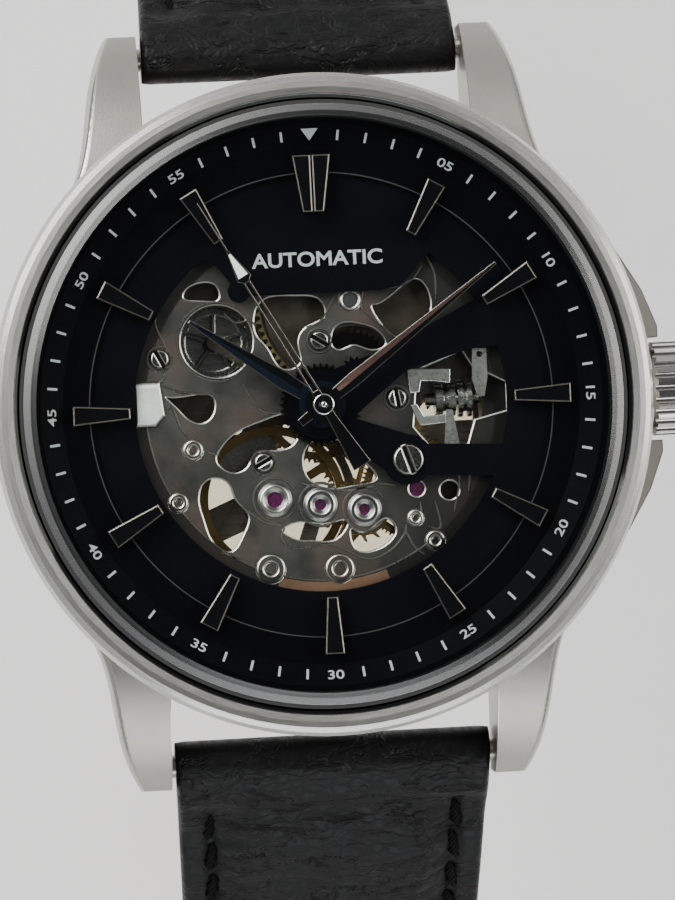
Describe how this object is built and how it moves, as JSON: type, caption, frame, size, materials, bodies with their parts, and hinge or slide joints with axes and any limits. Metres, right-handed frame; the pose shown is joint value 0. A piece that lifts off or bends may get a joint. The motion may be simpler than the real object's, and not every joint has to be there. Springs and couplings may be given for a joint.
{
  "type": "skeleton wristwatch",
  "caption": "Automatic wristwatch with a round steel case, open-worked dial showing the moving gear train, three hands, and a black leather strap with a pin buckle.",
  "frame": {"origin": "centre of the case back's outer face, on the axis of the hands", "axes": "+Z out through the crystal, +Y towards 12 o'clock, +X towards the crown"},
  "size_m": [0.0464, 0.1213, 0.1065],
  "materials": {
    "steel_case": "brushed, polished bevels",
    "steel_bright": "polished",
    "steel_grey": "sandblasted grey",
    "sapphire": "clear",
    "seal": "matt",
    "plastic_ring": "moulded",
    "black_lacquer": "matt black lacquer",
    "black_polish": "gloss black, bright edges",
    "brass_gold": "gilt",
    "ruby": "ruby",
    "spring_steel": "blued grey",
    "black_leather": "grained, stitched"
  },
  "bodies": {
    "case": {"mid_case": "steel_case", "bezel": "steel_case", "crystal": "sapphire", "crystal_gasket": "seal", "case_back_ring": "steel_case", "case_back_window": "sapphire", "case_back_gasket": "seal", "movement_holder": "plastic_ring", "crown_tube": "steel_bright", "spring_bars": "steel_bright", "dial": "black_lacquer", "flange_ring": "black_lacquer", "hour_markers": "black_polish", "mainplate": "steel_grey", "train_bridge": "steel_grey", "balance_cock": "steel_grey", "pallet_bridge": "steel_grey", "jewels": "ruby", "jewel_settings": "steel_bright", "movement_screws": "steel_bright", "hairspring": "spring_steel"},
    "barrel": {"barrel_drum": "brass_gold", "barrel_cover": "brass_gold", "mainspring": "spring_steel"},
    "ratchet": {"barrel_arbor": "steel_bright", "ratchet_wheel": "steel_bright"},
    "minutes": {"centre_wheel": "brass_gold", "centre_pinion": "steel_bright", "cannon_pinion": "steel_bright", "minute_hand": "black_polish"},
    "third": {"third_wheel": "brass_gold"},
    "fourth": {"fourth_wheel": "brass_gold"},
    "seconds": {"seconds_pinion": "steel_bright", "seconds_hand": "black_polish"},
    "escape": {"escape_wheel": "steel_bright"},
    "pallet": {"pallet_fork": "steel_bright"},
    "balance": {"balance_wheel": "brass_gold", "balance_staff": "steel_bright"},
    "motion": {"minute_wheel": "steel_bright"},
    "hours": {"hour_wheel": "brass_gold", "hour_hand": "black_polish"},
    "crown_wheel": {"crown_wheel": "steel_bright"},
    "click": {"click": "steel_bright"},
    "crown_slide": {"crown_gasket": "seal"},
    "crown": {"crown": "steel_case", "stem": "steel_bright"},
    "clutch": {"clutch_wheel": "steel_bright"},
    "winding": {"winding_pinion": "steel_bright"},
    "setting_lever": {"setting_lever": "steel_bright"},
    "yoke": {"yoke": "steel_bright"},
    "rotor": {"rotor": "steel_grey"},
    "intermediate": {"intermediate_wheel": "brass_gold"},
    "reversing": {"reversing_wheel": "brass_gold"},
    "strap_upper": {"strap_upper": "black_leather", "fixed_keeper": "black_leather", "buckle_bar": "steel_bright"},
    "strap_lower": {"strap_lower": "black_leather"},
    "buckle": {"buckle_frame": "steel_case"},
    "tongue": {"buckle_tongue": "steel_case"},
    "free_keeper": {"free_keeper": "black_leather"}
  },
  "joints": [
    {"name": "escape_turn", "type": "hinge", "parent": "case", "child": "escape", "pos_m": [0.00247, -0.0068, 0.005], "axis": [0, 0, 1], "continuous": true},
    {"name": "seconds_turn", "type": "hinge", "parent": "case", "child": "seconds", "pos_m": [0, 0, 0.005], "axis": [0, 0, -1], "continuous": true},
    {"name": "fourth_turn", "type": "hinge", "parent": "case", "child": "fourth", "pos_m": [0.00588, -0.00565, 0.005], "axis": [0, 0, -1], "continuous": true},
    {"name": "third_turn", "type": "hinge", "parent": "case", "child": "third", "pos_m": [0.00323, -0.00252, 0.005], "axis": [0, 0, -1], "continuous": true},
    {"name": "minute_turn", "type": "hinge", "parent": "case", "child": "minutes", "pos_m": [0, 0, 0.005], "axis": [0, 0, -1], "continuous": true},
    {"name": "minute_wheel_turn", "type": "hinge", "parent": "case", "child": "motion", "pos_m": [0.00224, 0.00226, 0.005], "axis": [0, 0, -1], "continuous": true},
    {"name": "hour_turn", "type": "hinge", "parent": "case", "child": "hours", "pos_m": [0, 0, 0.005], "axis": [0, 0, -1], "continuous": true},
    {"name": "barrel_turn", "type": "hinge", "parent": "case", "child": "barrel", "pos_m": [0.0022, 0.0066, 0.005], "axis": [0, 0, -1], "continuous": true},
    {"name": "pallet_swing", "type": "hinge", "parent": "case", "child": "pallet", "pos_m": [-0.00034, -0.00637, 0.0056], "axis": [0, 0, 1], "range_deg": [-5, 5]},
    {"name": "balance_swing", "type": "hinge", "parent": "case", "child": "balance", "pos_m": [-0.00323, -0.00591, 0.0045], "axis": [0, 0, 1], "range_deg": [-270, 270], "stiffness_Nm_per_rad": 0.00000055},
    {"name": "crown_pull", "type": "slide", "parent": "case", "child": "crown_slide", "axis": [1, 0, 0], "range_m": [0, 0.0012]},
    {"name": "crown_turn", "type": "hinge", "parent": "crown_slide", "child": "crown", "pos_m": [0.02, 0, 0.0043], "axis": [1, 0, 0], "continuous": true},
    {"name": "clutch_slide", "type": "slide", "parent": "crown", "child": "clutch", "axis": [1, 0, 0], "range_m": [-0.002, 0]},
    {"name": "winding_turn", "type": "hinge", "parent": "case", "child": "winding", "pos_m": [0.0094, 0, 0.0043], "axis": [1, 0, 0], "continuous": true},
    {"name": "crown_wheel_turn", "type": "hinge", "parent": "case", "child": "crown_wheel", "pos_m": [0.0083, 0.0026, 0.0025], "axis": [0, 0, 1], "continuous": true},
    {"name": "ratchet_turn", "type": "hinge", "parent": "case", "child": "ratchet", "pos_m": [0.0022, 0.0066, 0.0025], "axis": [0, 0, 1], "continuous": true},
    {"name": "click_lift", "type": "hinge", "parent": "case", "child": "click", "pos_m": [-0.00315, 0.0096, 0.0025], "axis": [0, 0, 1], "range_deg": [0, 8], "stiffness_Nm_per_rad": 0.00002},
    {"name": "setting_lever_turn", "type": "hinge", "parent": "case", "child": "setting_lever", "pos_m": [0.0103, 0.00275, 0.007], "axis": [0, 0, 1], "range_deg": [0, 28]},
    {"name": "yoke_turn", "type": "hinge", "parent": "case", "child": "yoke", "pos_m": [0.00825, -0.0033, 0.007], "axis": [0, 0, 1], "range_deg": [0, 14]},
    {"name": "rotor_turn", "type": "hinge", "parent": "case", "child": "rotor", "pos_m": [0, 0, 0.0021], "axis": [0, 0, 1], "continuous": true},
    {"name": "intermediate_turn", "type": "hinge", "parent": "case", "child": "intermediate", "pos_m": [-0.00528, -0.00113, 0.0025], "axis": [0, 0, 1], "continuous": true},
    {"name": "reversing_turn", "type": "hinge", "parent": "case", "child": "reversing", "pos_m": [-0.00645, 0.00435, 0.0025], "axis": [0, 0, 1], "continuous": true},
    {"name": "strap_upper_swing", "type": "hinge", "parent": "case", "child": "strap_upper", "pos_m": [0, 0.0229, 0.0016], "axis": [1, 0, 0], "range_deg": [-6, 80]},
    {"name": "strap_lower_swing", "type": "hinge", "parent": "case", "child": "strap_lower", "pos_m": [0, -0.0229, 0.0016], "axis": [-1, 0, 0], "range_deg": [-6, 80]},
    {"name": "buckle_swing", "type": "hinge", "parent": "strap_upper", "child": "buckle", "pos_m": [0, 0.05792, -0.05609], "axis": [1, 0, 0], "range_deg": [-40, 40]},
    {"name": "tongue_lift", "type": "hinge", "parent": "buckle", "child": "tongue", "pos_m": [0, 0.05792, -0.05609], "axis": [1, 0, 0], "range_deg": [0, 80]},
    {"name": "keeper_slide", "type": "slide", "parent": "strap_upper", "child": "free_keeper", "axis": [0, 0.3388, -0.9409], "range_m": [-0.003, 0.003]}
  ],
  "couplings": [
    {"joint": "seconds_turn", "follows": "escape_turn", "ratio": 0.083333},
    {"joint": "fourth_turn", "follows": "escape_turn", "ratio": 0.083333},
    {"joint": "third_turn", "follows": "escape_turn", "ratio": -0.011111},
    {"joint": "minute_turn", "follows": "escape_turn", "ratio": 0.0013889},
    {"joint": "minute_wheel_turn", "follows": "escape_turn", "ratio": -0.00046296},
    {"joint": "hour_turn", "follows": "escape_turn", "ratio": 0.00011574},
    {"joint": "barrel_turn", "follows": "escape_turn", "ratio": -0.00023148},
    {"joint": "clutch_slide", "follows": "crown_pull", "ratio": -1.5833},
    {"joint": "setting_lever_turn", "follows": "crown_pull", "rad_per_m": 400},
    {"joint": "yoke_turn", "follows": "crown_pull", "rad_per_m": 200},
    {"joint": "winding_turn", "follows": "crown_turn", "ratio": 1},
    {"joint": "crown_wheel_turn", "follows": "crown_turn", "ratio": 0.36842},
    {"joint": "ratchet_turn", "follows": "crown_turn", "ratio": -0.29167},
    {"joint": "intermediate_turn", "follows": "rotor_turn", "ratio": -0.6875},
    {"joint": "reversing_turn", "follows": "rotor_turn", "ratio": 0.91667}
  ]
}
